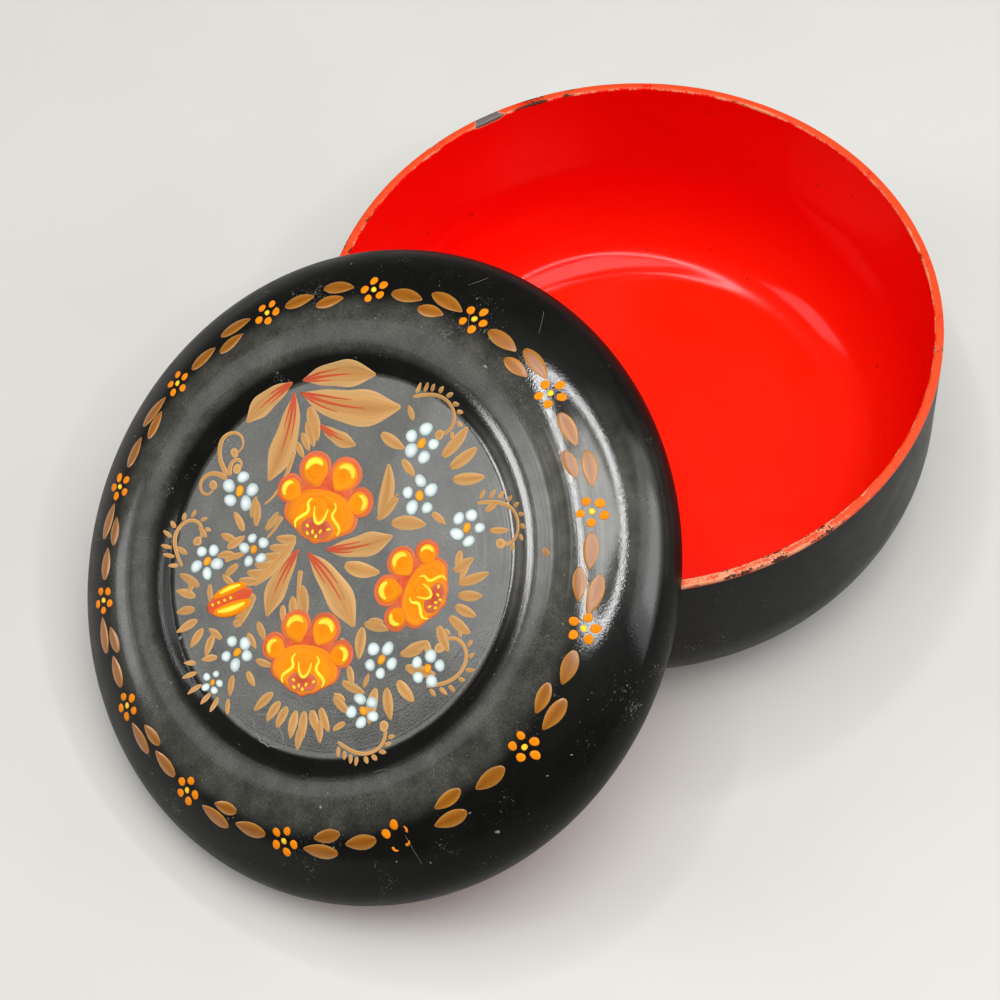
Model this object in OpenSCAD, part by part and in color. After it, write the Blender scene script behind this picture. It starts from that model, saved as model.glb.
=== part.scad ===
// Round lacquered trinket box of spun sheet steel, shown open.
// Millimetres, +Z up. The bowl stands on z = 0 with its axis on Z. The lid leans on the
// bowl's -X side: its low edge is on z = 0 and its mouth hangs over the rim.

/* [Bowl] */
// Outer diameter of the rim
rim_d = 104; // [92:1:130]
// Height of the bowl from the table to the rim
bowl_h = 41.5; // [34:0.5:48]
// Thickness of the bowl's steel with its black lacquer
bowl_wall = 1.25; // [0.8:0.05:2]
// How far the belly stands out past the rim
belly_bulge = 0.3; // [0.1:0.05:1]
// Height of the widest part of the belly
belly_z = 21; // [16:0.5:30]
// Distance from the rim's outside in to the edge of the flat base
base_inset = 12.5; // [9:0.5:18]
// Outer radius of the corner between the base and the side
base_corner_r = 6.4; // [3:0.1:8]

/* [Lid] */
// Height of the lid from its mouth to its crest
lid_h = 15.8; // [14:0.1:20]
// Thickness of the lid's steel with its black lacquer
lid_wall = 1; // [0.6:0.05:1.6]
// Gap between the lid's mouth and the bowl's rim when the box is closed
lid_fit = 0.25; // [0.15:0.05:1]
// Outer radius of the lid's rounded side
side_r = 9.1; // [7:0.1:10.5]
// Height of the lid's widest part above its mouth
side_z = 2.9; // [1:0.1:4]
// Distance from the lid's widest part in to its crest
shoulder_w = 18.7; // [14:0.1:22]

/* [Dish in the lid] */
// Depth of the dish below the crest
dish_depth = 1.6; // [0.8:0.1:2.4]
// Distance from the crest in to the dish's flat floor
dish_wall_w = 4.4; // [3.5:0.1:7]
// Radius of the hollow corner round the dish's floor
dish_corner_r = 2.5; // [1:0.1:3.5]

/* [Lacquer lining] */
// Thickness of the red lacquer inside the bowl and the lid
lacquer = 0.25; // [0.1:0.05:0.4]

/* [Leaning lid] */
// How far the lid's high edge reaches past the line where it hangs on the rim
lid_overhang = 22.9; // [19:0.1:28]
// Gap between the lid's mouth and the rim where it hangs, along the mouth's plane
hang_gap = 0.55; // [0.3:0.05:1]

/* [Hidden] */
$fn = 144;
// Degrees of arc between neighbouring points of a profile
arc_step = 4;
black_lacquer = "#191817";
red_lacquer = "#d8180c";

// Bowl: a corner arc leaves the flat base, a side arc ends upright at the belly,
// and the side tapers in from there to the rim
rim_r = rim_d / 2;
belly_r = rim_r + belly_bulge;
base_r = rim_r - base_inset;
shell_top = bowl_h - lacquer;
bowl_reach = belly_r - base_r;
corner_c = [base_r, base_corner_r];
bowl_side_r = (bowl_reach ^ 2 + belly_z ^ 2 - 2 * belly_z * base_corner_r)
    / (2 * (bowl_reach - base_corner_r));
bowl_side_c = [belly_r - bowl_side_r, belly_z];
corner_turn = atan2(corner_c.y - bowl_side_c.y, corner_c.x - bowl_side_c.x);

// Lid: a side arc rises from the mouth and a larger arc carries it on to the crest
lid_thickness = lid_wall + lacquer;
mouth_r = rim_r + lid_fit;
lid_side_c = [mouth_r - sqrt((side_r - lid_thickness) ^ 2 - side_z ^ 2), side_z];
lid_edge_r = lid_side_c.x + sqrt(side_r ^ 2 - side_z ^ 2);
crest_r = lid_side_c.x + side_r - shoulder_w;
shoulder_in = lid_side_c.x - crest_r;
shoulder_up = lid_h - side_z - side_r;
top_r = side_r + (shoulder_in ^ 2 + shoulder_up ^ 2) / (2 * shoulder_up);
top_c = [crest_r, lid_h - top_r];
shoulder_turn = atan2(lid_side_c.y - top_c.y, lid_side_c.x - top_c.x);

// Dish: a lip arc falls from the crest and a hollow corner arc meets the floor
dish_r = crest_r - dish_wall_w;
dish_z = lid_h - dish_depth;
dish_slope = 2 * atan(dish_depth / dish_wall_w);
lip_r = dish_wall_w / sin(dish_slope) - dish_corner_r;
lip_c = [crest_r, lid_h - lip_r];
dish_corner_c = [dish_r, dish_z + dish_corner_r];

// Lean: the low edge is on the table, and the rim passes through the mouth's plane
// at hang_up from the lid's centre, measured up the slope
hang_up = lid_edge_r - lid_overhang;
lean = asin(bowl_h / (lid_edge_r + hang_up));
hang_r = mouth_r - hang_gap;
lid_x = -hang_up * cos(lean) - sqrt(rim_r ^ 2 - hang_r ^ 2 + hang_up ^ 2);
lid_z = lid_edge_r * sin(lean);

// Points on an arc about c, leaving out as many first points as skip says
function arc(c, r, from, to, skip = 0) =
    let (n = max(2, ceil(abs(to - from) / arc_step)))
    [for (i = [skip:n]) let (a = from + (to - from) * i / n) c + r * [cos(a), sin(a)]];

function reverse(points) = [for (i = [len(points) - 1:-1:0]) points[i]];

// Bowl's side from the base to the height top, inset from its outside
function bowl_side(inset, top) = concat(
    arc(corner_c, base_corner_r - inset, -90, corner_turn),
    arc(bowl_side_c, bowl_side_r - inset, corner_turn, 0, 1),
    [[rim_r - inset, top]]
);

// Lid's side from the mouth to the dish's floor, inset from its outside
function lid_side(inset) = concat(
    arc(lid_side_c, side_r - inset, -asin(side_z / (side_r - inset)), shoulder_turn),
    arc(top_c, top_r - inset, shoulder_turn, 90, 1),
    arc(lip_c, lip_r - inset, 90, 90 + dish_slope, 1),
    arc(dish_corner_c, dish_corner_r + inset, dish_slope - 90, -90, 1)
);

// Carries the lid from its own frame, mouth down on z = 0, to its leaning place
module leaning() {
    translate([lid_x, 0, lid_z]) rotate([0, -lean, 0]) children();
}

// Spun steel bowl, black outside
module bowl_shell() {
    color(black_lacquer) rotate_extrude() polygon(concat(
        [[0, 0]],
        bowl_side(0, shell_top),
        reverse(bowl_side(bowl_wall, shell_top)),
        [[0, bowl_wall]]
    ));
}

// Red lacquer that lines the bowl and covers its rim
module bowl_lining() {
    color(red_lacquer) rotate_extrude() polygon(concat(
        [[0, bowl_wall]],
        bowl_side(bowl_wall, shell_top),
        [[rim_r, shell_top], [rim_r, bowl_h]],
        reverse(bowl_side(bowl_wall + lacquer, bowl_h)),
        [[0, bowl_wall + lacquer]]
    ));
}

// Spun steel lid with a shallow dish in its top, black outside
module lid_shell() {
    color(black_lacquer) leaning() rotate_extrude() polygon(concat(
        lid_side(0),
        [[0, dish_z], [0, dish_z - lid_wall]],
        reverse(lid_side(lid_wall))
    ));
}

// Red lacquer under the lid
module lid_lining() {
    color(red_lacquer) leaning() rotate_extrude() polygon(concat(
        lid_side(lid_wall),
        [[0, dish_z - lid_wall], [0, dish_z - lid_thickness]],
        reverse(lid_side(lid_thickness))
    ));
}

bowl_shell();
bowl_lining();
lid_shell();
lid_lining();
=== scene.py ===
"""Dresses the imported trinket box: spun steel, black and red lacquer, and brush-painted flowers.

Lengths are in millimetres until a mesh is made. The bowl stands on its own axis, and everything
on the lid is built in the lid's own frame, mouth down, and then leaned on the bowl.
"""

import logging
import math
import random
from dataclasses import dataclass, field
from enum import Enum
from typing import Any, Callable, Sequence

import bmesh
import bpy
from mathutils import Matrix, Vector, noise


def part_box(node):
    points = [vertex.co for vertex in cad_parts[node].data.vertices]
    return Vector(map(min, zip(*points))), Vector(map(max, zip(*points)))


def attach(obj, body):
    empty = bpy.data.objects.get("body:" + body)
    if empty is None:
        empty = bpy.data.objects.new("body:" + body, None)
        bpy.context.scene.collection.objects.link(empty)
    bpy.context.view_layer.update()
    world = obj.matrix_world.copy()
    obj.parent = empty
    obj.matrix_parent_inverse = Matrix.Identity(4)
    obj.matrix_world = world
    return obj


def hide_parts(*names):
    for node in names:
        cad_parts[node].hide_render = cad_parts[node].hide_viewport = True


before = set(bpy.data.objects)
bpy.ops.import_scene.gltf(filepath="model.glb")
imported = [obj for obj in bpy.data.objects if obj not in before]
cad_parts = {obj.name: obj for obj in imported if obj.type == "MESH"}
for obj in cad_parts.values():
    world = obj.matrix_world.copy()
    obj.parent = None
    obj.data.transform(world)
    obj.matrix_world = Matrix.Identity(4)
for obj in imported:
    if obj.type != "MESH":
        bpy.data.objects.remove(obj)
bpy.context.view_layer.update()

MM = 0.001
LOG = logging.getLogger("trinket_box")
Point = tuple[float, float]
AXIS: Point = (0.0, 0.0)
TURN_STEPS = 360


def linear(hex_code: str) -> tuple[float, float, float, float]:
    """Turn an sRGB hex value into linear RGBA.

    Args:
        hex_code: colour such as "#d8180c".

    Returns:
        Linear red, green, blue and an alpha of 1.
    """
    channels = [int(hex_code[i:i + 2], 16) / 255 for i in (1, 3, 5)]
    red, green, blue = [
        c / 12.92 if c <= 0.04045 else ((c + 0.055) / 1.055) ** 2.4 for c in channels
    ]
    return red, green, blue, 1.0


def per_size(size: float) -> float:
    """Give the texture scale that makes a pattern's features this many millimetres wide."""
    return 1 / (size * MM)


def plug(tree: bpy.types.NodeTree, node: bpy.types.Node, inputs: dict[Any, Any]) -> None:
    """Link or set a node's inputs.

    Args:
        tree: the material's node tree.
        node: the node.
        inputs: for each input's name or number, a socket to link or a value to set. In Map Range
            1 and 2 are the range read, and 3 and 4 the range given. In Mix 2 and 3 are the two
            values, and 6 and 7 the two colours.
    """
    for key, value in inputs.items():
        if isinstance(value, bpy.types.NodeSocket):
            tree.links.new(value, node.inputs[key])
        else:
            node.inputs[key].default_value = value


def add_node(
    tree: bpy.types.NodeTree, kind: str, inputs: dict[Any, Any] | None = None, **settings: Any
) -> bpy.types.Node:
    """Add a node with its settings and links.

    Args:
        tree: the material's node tree.
        kind: the node's type.
        inputs: what its inputs are linked or set to, as for plug.
        settings: the node's own properties.

    Returns:
        The new node.
    """
    node = tree.nodes.new(kind)
    for name, value in settings.items():
        setattr(node, name, value)
    plug(tree, node, inputs or {})
    return node


def polar(centre: Point, radius: float, turn: float) -> Point:
    """Give the point at a radius and an angle in radians from a centre."""
    return centre[0] + radius * math.cos(turn), centre[1] + radius * math.sin(turn)


def left_of(ahead: Vector) -> Vector:
    """Give the plan direction to the left of a plan direction."""
    return Vector((-ahead.y, ahead.x)).normalized()


def arc(centre: Point, radius: float, start: float, end: float, step: float = 2.0) -> list[Point]:
    """List points on an arc.

    Args:
        centre: middle of the circle.
        radius: its radius.
        start: first angle in degrees.
        end: last angle in degrees.
        step: most degrees between points.

    Returns:
        The points, both ends included.
    """
    count = max(2, math.ceil(abs(end - start) / step))
    angles = [math.radians(start + (end - start) * i / count) for i in range(count + 1)]
    return [polar(centre, radius, angle) for angle in angles]


def eased(corner: Point, before: Point, after: Point, reach: float) -> list[Point]:
    """Round a corner of a profile with a short curve.

    Args:
        corner: the sharp corner.
        before: a point on the side that comes in.
        after: a point on the side that goes out.
        reach: how far the curve starts from the corner.

    Returns:
        Points of the curve from the side before to the side after.
    """
    start = Vector(corner) + (Vector(before) - Vector(corner)).normalized() * reach
    end = Vector(corner) + (Vector(after) - Vector(corner)).normalized() * reach
    curve = []
    steps = 6
    for i in range(steps + 1):
        t = i / steps
        p = start * (1 - t) ** 2 + Vector(corner) * (2 * t * (1 - t)) + end * t ** 2
        curve.append((p.x, p.y))
    return curve


def mesh_object(
    title: str, corners: Sequence[Vector], faces: Sequence[Sequence[int]]
) -> bpy.types.Object:
    """Make a smooth closed mesh object with its faces turned outward.

    Args:
        title: the piece's name.
        corners: vertices in metres.
        faces: vertex numbers of each face.

    Returns:
        The new object, linked to the scene.
    """
    mesh = bpy.data.meshes.new(title)
    mesh.from_pydata(corners, [], faces)
    work = bmesh.new()
    work.from_mesh(mesh)
    bmesh.ops.recalc_face_normals(work, faces=work.faces)
    work.to_mesh(mesh)
    work.free()
    mesh.shade_smooth()
    piece = bpy.data.objects.new(title, mesh)
    bpy.context.scene.collection.objects.link(piece)
    return piece


def turned(title: str, profile: Sequence[Point], segments: int) -> bpy.types.Object:
    """Turn a profile about the Z axis.

    Args:
        title: the piece's name.
        profile: radius and height of each point; the first and last are on the axis.
        segments: steps round the axis.

    Returns:
        The turned piece.
    """
    corners = [Vector((0, 0, profile[0][1])) * MM]
    for radius, height in profile[1:-1]:
        for k in range(segments):
            turn = math.tau * k / segments
            corners.append(Vector((radius * math.cos(turn), radius * math.sin(turn), height)) * MM)
    corners.append(Vector((0, 0, profile[-1][1])) * MM)
    last = len(corners) - 1
    faces = []
    rings = len(profile) - 2
    for k in range(segments):
        after = (k + 1) % segments
        faces.append((0, 1 + after, 1 + k))
        for ring in range(rings - 1):
            low = 1 + ring * segments
            high = low + segments
            faces.append((low + k, low + after, high + after, high + k))
        top = 1 + (rings - 1) * segments
        faces.append((top + k, top + after, last))
    return mesh_object(title, corners, faces)


def add_values(piece: bpy.types.Object, name: str, values: Sequence[Sequence[float]]) -> None:
    """Store three numbers on each vertex for a finish to read.

    Args:
        piece: the mesh object.
        name: the attribute's name.
        values: three numbers for each vertex.
    """
    layer = piece.data.attributes.new(name, "FLOAT_VECTOR", "POINT")
    layer.data.foreach_set("vector", [number for row in values for number in row])


class Slot(Enum):
    """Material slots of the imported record."""

    BLACK = "black_lacquer"
    RED = "red_lacquer"


class Body(Enum):
    """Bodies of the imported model."""

    BOWL = "bowl"
    LID = "lid"


@dataclass(frozen=True)
class Finish:
    """A finish that makes one node material."""

    title: str

    def material(self) -> bpy.types.Material:
        """Make the material once and give it back on every later call.

        Returns:
            The finished material.
        """
        known = bpy.data.materials.get(self.title)
        if known:
            return known
        made = bpy.data.materials.new(self.title)
        made.use_nodes = True
        self.lay(made.node_tree, made.node_tree.nodes["Principled BSDF"])
        return made

    def lay(self, tree: bpy.types.NodeTree, shader: bpy.types.Node) -> None:
        """Build the finish's nodes; each finish has its own."""
        raise NotImplementedError


@dataclass(frozen=True)
class StovedEnamel(Finish):
    """Black enamel sprayed on spun steel and stoved.

    It gives a deep black with faint turning lines from the spinning under it, a grey of old polish
    and dust in clouds, and a fine dusty grain. The grey on the faces that look along the axis and
    in rings round one patch of the shoulder is partly a painted sheen, the hazy reflection of the
    light overhead. A hard gloss is left in the dish and round one patch of the shoulder that is
    often polished, and handling has dulled the rest.
    """

    black: str = "#0a0a09"
    dust_and_sheen_grey: str = "#696860"
    scuff: str = "#908e87"
    cloud: float = 5.0
    grain: float = 0.35
    rub: float = 9.0
    line: float = 0.55
    dish_edge: float = 33.0
    coat: float = 0.62
    polished_coat: float = 1.0
    crest_coat: float = 0.23
    wall_coat: float = 0.15
    shoulder_coat: float = 0.15
    side_coat: float = 0.03
    coat_index: float = 1.65
    coat_rough: float = 0.07
    gloss: float = 0.07
    spun: float = 0.5
    polished_at: tuple[float, float, float] = (29.0, -23.5, 15.0)
    polished_reach: float = 24.0
    shoulder_kept: Point = (28.0, 40.0)
    side_kept: Point = (24.0, 36.0)

    def lay(self, tree: bpy.types.NodeTree, shader: bpy.types.Node) -> None:
        """Build the enamel's nodes.

        Args:
            tree: the material's node tree.
            shader: its principled shader.
        """
        place = add_node(tree, "ShaderNodeTexCoord").outputs["Object"]
        clouds, grains, rubbed = (
            add_node(tree, "ShaderNodeTexNoise", {
                "Vector": place, "Scale": per_size(size), "Detail": detail, "Roughness": rough,
            }).outputs[0]
            for size, detail, rough in (
                (self.cloud, 7, 0.66), (self.grain, 3, 0.6), (self.rub, 4, 0.7),
            )
        )
        # Turning lines follow the distance from the axis plus the height, so they ring every face
        axes = add_node(tree, "ShaderNodeSeparateXYZ", {0: place})
        flat = add_node(tree, "ShaderNodeCombineXYZ", {0: axes.outputs[0], 1: axes.outputs[1]})
        radius = add_node(tree, "ShaderNodeVectorMath", {
            0: flat.outputs[0],
        }, operation="LENGTH").outputs["Value"]
        along = add_node(tree, "ShaderNodeMath", {
            0: radius, 1: axes.outputs[2],
        }, operation="ADD").outputs[0]
        lines = add_node(tree, "ShaderNodeTexNoise", {
            "W": along, "Scale": per_size(self.line), "Detail": 2,
        }, noise_dimensions="1D").outputs[0]
        away = add_node(tree, "ShaderNodeVectorMath", {
            0: place, 1: Vector(self.polished_at) * MM,
        }, operation="DISTANCE").outputs["Value"]
        facing = add_node(tree, "ShaderNodeTexCoord").outputs["Normal"]
        rise = add_node(tree, "ShaderNodeSeparateXYZ", {0: facing}).outputs[2]

        edge = self.dish_edge * MM
        cloudy, speck, ringed, dulled, lined, in_dish, outside_dish, steep = (
            add_node(tree, "ShaderNodeMapRange", {
                0: source, 1: low, 2: high, 3: start, 4: end,
            }).outputs[0]
            for source, low, high, start, end in (
                (clouds, 0.3, 0.72, 0.35, 1.25),
                (grains, 0.3, 0.72, 0.55, 1.25),
                (lines, 0.34, 0.66, 0.25, 1.1),
                (clouds, 0.3, 0.75, 0.3, 0.44),
                (lines, 0.3, 0.7, -0.02, 0.03),
                (radius, edge, edge + 1.5 * MM, 1.0, 0.0),
                (radius, edge, edge + 3.0 * MM, 0.0, 2.0),
                (rise, 0.95, 0.99, 1.0, 0.0),
            )
        )
        # Grey settles on the faces that look along the piece's axis, as dust and as a painted sheen of
        # the light above. The coat is kept round the polished patch, and below it a little less far
        reach = self.polished_reach * MM
        shoulder_from, shoulder_to = (distance * MM for distance in self.shoulder_kept)
        side_from, side_to = (distance * MM for distance in self.side_kept)
        upward, near_polish, kept, near_side = (
            add_node(tree, "ShaderNodeMapRange", {
                0: source, 1: low, 2: high, 3: start, 4: end,
            }, interpolation_type="SMOOTHSTEP").outputs[0]
            for source, low, high, start, end in (
                (rise, 0.93, 0.99, 0.02, 0.5),
                (away, 0.25 * reach, reach, 0.9, 0.0),
                (away, shoulder_from, shoulder_to, self.polished_coat, self.shoulder_coat),
                (away, side_from, side_to, self.polished_coat, self.side_coat),
            )
        )
        # The grey mask: dust and painted sheen on the upward faces, and painted sheen round the patch
        dust, polished = upward, near_polish
        for mask in (cloudy, speck):
            dust = add_node(tree, "ShaderNodeMath", {0: dust, 1: mask}, operation="MULTIPLY").outputs[0]
        # Fine grey rings round the polished patch: polishing marks, painted with the sheen they catch
        for mask in (ringed, cloudy):
            polished = add_node(tree, "ShaderNodeMath", {
                0: polished, 1: mask,
            }, operation="MULTIPLY").outputs[0]
        dust = add_node(tree, "ShaderNodeMath", {
            0: dust, 1: polished,
        }, operation="MAXIMUM", use_clamp=True).outputs[0]
        # Scuffs are small pale flecks where a rubbed patch and a grain meet
        patch = add_node(tree, "ShaderNodeMath", {
            0: rubbed, 1: 0.9, 2: grains,
        }, operation="MULTIPLY_ADD").outputs[0]
        scuffed = add_node(tree, "ShaderNodeMapRange", {
            0: patch, 1: 1.17, 2: 1.25, 3: 0.0, 4: 0.45,
        }).outputs[0]
        # Over the black go the grey of dust and painted sheen, then the pale scuffs
        colour = linear(self.black)
        for mask, shade in ((dust, self.dust_and_sheen_grey), (scuffed, self.scuff)):
            colour = add_node(tree, "ShaderNodeMix", {
                0: mask, 6: colour, 7: linear(shade),
            }, data_type="RGBA").outputs[2]
        rough = add_node(tree, "ShaderNodeMath", {0: dulled, 1: lined}, operation="ADD").outputs[0]
        relief = add_node(tree, "ShaderNodeMath", {
            0: lines, 1: 0.5, 2: grains,
        }, operation="MULTIPLY_ADD").outputs[0]
        bump = add_node(tree, "ShaderNodeBump", {
            "Strength": 0.4, "Distance": 0.04 * MM, "Height": relief,
        }).outputs[0]
        # The coat is whole in the dish and, on the shoulder, round the polished patch, below which
        # it runs further down the side
        kept = add_node(tree, "ShaderNodeMix", {0: in_dish, 2: kept, 3: self.coat}).outputs[0]
        off_side = add_node(tree, "ShaderNodeMapRange", {
            0: rise, 1: 0.7, 2: 0.86, 3: self.side_coat, 4: kept,
        }).outputs[0]
        low_side = add_node(tree, "ShaderNodeMapRange", {
            0: rise, 1: 0.4, 2: 0.6, 3: self.side_coat, 4: near_side,
        }, interpolation_type="SMOOTHSTEP").outputs[0]
        whole = add_node(tree, "ShaderNodeMath", {
            0: off_side, 1: low_side,
        }, operation="MAXIMUM").outputs[0]
        # Hands dull the crest and dirt the dish's wall, apart from the polished patch
        for spread, mask, dull_coat in (
            (outside_dish, upward, self.crest_coat), (in_dish, steep, self.wall_coat),
        ):
            dull = add_node(tree, "ShaderNodeMath", {
                0: spread, 1: mask,
            }, operation="MULTIPLY", use_clamp=True).outputs[0]
            dull = add_node(tree, "ShaderNodeMath", {
                0: dull, 1: near_polish,
            }, operation="SUBTRACT", use_clamp=True).outputs[0]
            whole = add_node(tree, "ShaderNodeMix", {0: dull, 2: whole, 3: dull_coat}).outputs[0]
        # The turning lines draw the sheen out across them
        spin = add_node(tree, "ShaderNodeTangent", direction_type="RADIAL", axis="Z").outputs[0]
        plug(tree, shader, {
            "Base Color": colour, "Roughness": rough, "Normal": bump, "Specular IOR Level": self.gloss,
            "Tangent": spin, "Anisotropic": self.spun, "Anisotropic Rotation": 0.25,
            "Coat Weight": whole, "Coat Normal": bump, "Coat Roughness": self.coat_rough,
            "Coat IOR": self.coat_index,
        })


@dataclass(frozen=True)
class RedLacquer(Finish):
    """Bright red lacquer flowed on by brush, glossy, and worn off the rim.

    It gives a deep clean red with sharp reflections and a slow ripple. The attribute "wear" says
    where the lacquer is rubbed thin (first number), worn to its pale undercoat and, past that, to
    the steel (second), or chipped down to dark primer (third). On the rim the thin orange top and
    the pale corners are partly a painted highlight, where the rim catches the light.
    """

    red: str = "#f31d06"
    deep: str = "#ee0502"
    rubbed: str = "#dc441a"
    undercoat: str = "#e08e69"
    speck: str = "#a81408"
    steel: str = "#6f6664"
    primer: str = "#43200f"
    pool: float = 30.0
    ripple: float = 9.0
    flake: float = 0.42
    dust: float = 1.5
    gloss: float = 0.21

    def lay(self, tree: bpy.types.NodeTree, shader: bpy.types.Node) -> None:
        """Build the lacquer's nodes.

        Args:
            tree: the material's node tree.
            shader: its principled shader.
        """
        place = add_node(tree, "ShaderNodeTexCoord").outputs["Object"]
        pools, ripples, flakes, dusts = (
            add_node(tree, "ShaderNodeTexNoise", {
                "Vector": place, "Scale": per_size(size), "Detail": detail, "Roughness": rough,
            }).outputs[0]
            for size, detail, rough in (
                (self.pool, 4, 0.5), (self.ripple, 2, 0.5), (self.flake, 4, 0.6), (self.dust, 1, 0.5),
            )
        )
        wear_and_highlight = add_node(tree, "ShaderNodeAttribute", attribute_name="wear_and_highlight").outputs["Vector"]
        worn = add_node(tree, "ShaderNodeSeparateXYZ", {0: wear_and_highlight})
        # Rubbed thin, down to the undercoat, down to the steel, and chipped to the primer; the first two
        # also paint the highlight on the rim's top and corners
        masks = []
        for number, spread, more in ((0, 0.9, 0.0), (1, 0.8, 0.0), (1, 0.8, 0.5), (2, 0.9, 0.0)):
            ragged = add_node(tree, "ShaderNodeMath", {
                0: flakes, 1: spread, 2: worn.outputs[number],
            }, operation="MULTIPLY_ADD").outputs[0]
            masks.append(add_node(tree, "ShaderNodeMapRange", {
                0: ragged, 1: 0.46 + spread / 2 + more, 2: 0.55 + spread / 2 + more, 3: 0.0, 4: 1.0,
            }).outputs[0])
        # The red is a little more orange on the floor than on the wall, set by how far each face looks
        # up, with slow pools of tone
        facing = add_node(tree, "ShaderNodeTexCoord").outputs["Normal"]
        rise = add_node(tree, "ShaderNodeSeparateXYZ", {0: facing}).outputs[2]
        pooled = add_node(tree, "ShaderNodeMath", {
            0: pools, 1: 0.3, 2: rise,
        }, operation="MULTIPLY_ADD").outputs[0]
        depth, specks, rough = (
            add_node(tree, "ShaderNodeMapRange", {
                0: source, 1: low, 2: high, 3: start, 4: end,
            }).outputs[0]
            for source, low, high, start, end in (
                (pooled, 0.35, 1.15, 1.0, 0.0),
                (dusts, 0.755, 0.785, 0.0, 0.7),
                (ripples, 0.3, 0.7, 0.12, 0.16),
            )
        )
        colour = linear(self.red)
        shades = (self.deep, self.speck, self.rubbed, self.undercoat, self.steel, self.primer)
        for mask, shade in zip((depth, specks, *masks), shades):
            colour = add_node(tree, "ShaderNodeMix", {
                0: mask, 6: colour, 7: linear(shade),
            }, data_type="RGBA").outputs[2]
        for mask, level in zip(masks, (0.42, 0.5, 0.55, 0.6)):
            rough = add_node(tree, "ShaderNodeMix", {0: mask, 2: rough, 3: level}).outputs[0]
        # Steel that has been bare for years is dulled, so it is only partly a metal to the eye
        metal = add_node(tree, "ShaderNodeMath", {0: masks[2], 1: 0.35}, operation="MULTIPLY").outputs[0]
        relief = add_node(tree, "ShaderNodeMath", {
            0: ripples, 1: 12.0, 2: flakes,
        }, operation="MULTIPLY_ADD").outputs[0]
        bump = add_node(tree, "ShaderNodeBump", {
            "Strength": 0.12, "Distance": 0.02 * MM, "Height": relief,
        }).outputs[0]
        plug(tree, shader, {
            "Base Color": colour, "Roughness": rough, "Metallic": metal, "Normal": bump,
            "Specular IOR Level": self.gloss,
        })


@dataclass(frozen=True)
class BrushPaint(Finish):
    """Oil paint laid by a small brush.

    Each dab is thin at its edge and full in its middle, with streaks along the stroke and a
    slightly other tint from dab to dab. The attribute "brush" gives the distance from the dab's
    middle line, the way along it, and the dab's own tint.
    """

    edge: str
    middle: str
    heart: str
    rough: float = 0.5
    gloss: float = 0.08
    streaks: float = 0.16

    def lay(self, tree: bpy.types.NodeTree, shader: bpy.types.Node) -> None:
        """Build the paint's nodes.

        Args:
            tree: the material's node tree.
            shader: its principled shader.
        """
        brush = add_node(tree, "ShaderNodeAttribute", attribute_name="brush").outputs["Vector"]
        across = add_node(tree, "ShaderNodeSeparateXYZ", {0: brush})
        # Streaks are about a tenth of a dab wide and run its whole length
        streak_place = add_node(tree, "ShaderNodeVectorMath", {
            0: brush, 1: (7.0, 1.6, 23.0),
        }, operation="MULTIPLY").outputs[0]
        streak = add_node(tree, "ShaderNodeTexNoise", {
            "Vector": streak_place, "Scale": 1.0, "Detail": 3,
        }).outputs[0]
        inward, full, shade = (
            add_node(tree, "ShaderNodeMapRange", {
                0: source, 1: low, 2: high, 3: start, 4: end,
            }).outputs[0]
            for source, low, high, start, end in (
                (across.outputs[0], 0.55, 0.97, 0.0, 1.0),
                (across.outputs[0], 0.0, 0.6, 1.0, 0.0),
                (streak, 0.3, 0.7, 1 - self.streaks, 1 + self.streaks),
            )
        )
        colour = linear(self.middle)
        for mask, tone in ((full, self.heart), (inward, self.edge)):
            colour = add_node(tree, "ShaderNodeMix", {
                0: mask, 6: colour, 7: linear(tone),
            }, data_type="RGBA").outputs[2]
        tint = add_node(tree, "ShaderNodeMath", {
            0: shade, 1: across.outputs[2],
        }, operation="MULTIPLY").outputs[0]
        colour = add_node(tree, "ShaderNodeVectorMath", {
            0: colour, "Scale": tint,
        }, operation="SCALE").outputs[0]
        bump = add_node(tree, "ShaderNodeBump", {
            "Strength": 0.4, "Distance": 0.03 * MM, "Height": streak,
        }).outputs[0]
        plug(tree, shader, {
            "Base Color": colour, "Normal": bump, "Roughness": self.rough,
            "Specular IOR Level": self.gloss,
        })


@dataclass(frozen=True)
class StudioPaper(Finish):
    """Matt pale background paper with a faint mottle."""

    pale: str = "#cecdc8"
    shade: str = "#c8c6c1"
    mottle: float = 40.0

    def lay(self, tree: bpy.types.NodeTree, shader: bpy.types.Node) -> None:
        """Build the paper's nodes.

        Args:
            tree: the material's node tree.
            shader: its principled shader.
        """
        place = add_node(tree, "ShaderNodeTexCoord").outputs["Object"]
        cloud = add_node(tree, "ShaderNodeTexNoise", {
            "Vector": place, "Scale": per_size(self.mottle), "Detail": 3,
        }).outputs[0]
        colour = add_node(tree, "ShaderNodeMix", {
            0: cloud, 6: linear(self.pale), 7: linear(self.shade),
        }, data_type="RGBA").outputs[2]
        plug(tree, shader, {"Base Color": colour, "Roughness": 0.9})


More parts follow.
